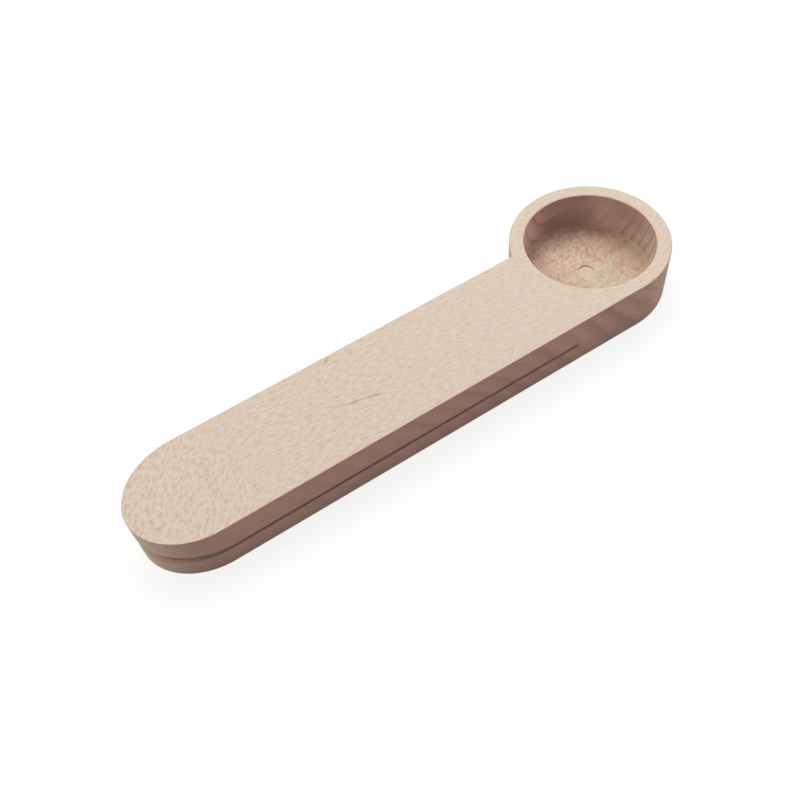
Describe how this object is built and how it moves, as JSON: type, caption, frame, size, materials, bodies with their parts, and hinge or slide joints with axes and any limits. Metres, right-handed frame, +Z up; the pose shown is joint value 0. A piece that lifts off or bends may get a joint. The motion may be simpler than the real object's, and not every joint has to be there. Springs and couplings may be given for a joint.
{
  "type": "coffee scoop",
  "caption": "Flat wooden coffee scoop: a round bored bowl set to one side of a broad handle, which a long saw cut splits into springy jaws that clip a bag shut.",
  "frame": {"origin": "on the underside, below the middle of the whole outline's bounding box", "axes": "+X along the handle from the tail to the head, +Y across to the side where the head stands out past the handle, +Z up out of the bowl's mouth"},
  "size_m": [0.1756, 0.0472, 0.016],
  "materials": {
    "beech": "sanded, bare, matte"
  },
  "bodies": {
    "head": {"scoop_head": "beech"},
    "upper_jaw": {"upper_jaw": "beech"},
    "lower_jaw": {"lower_jaw": "beech"}
  },
  "joints": [
    {"name": "lower_jaw_flex", "type": "hinge", "parent": "head", "child": "lower_jaw", "pos_m": [0.0415, -0.0076, 0.00305], "axis": [0, -1, 0], "range_deg": [-0.3, 1.2], "stiffness_Nm_per_rad": 201},
    {"name": "upper_jaw_flex", "type": "hinge", "parent": "head", "child": "upper_jaw", "pos_m": [0.0415, -0.0076, 0.01165], "axis": [0, 1, 0], "range_deg": [-0.11, 0.42], "stiffness_Nm_per_rad": 583}
  ],
  "couplings": [
    {"joint": "upper_jaw_flex", "follows": "lower_jaw_flex", "ratio": 0.3447}
  ]
}
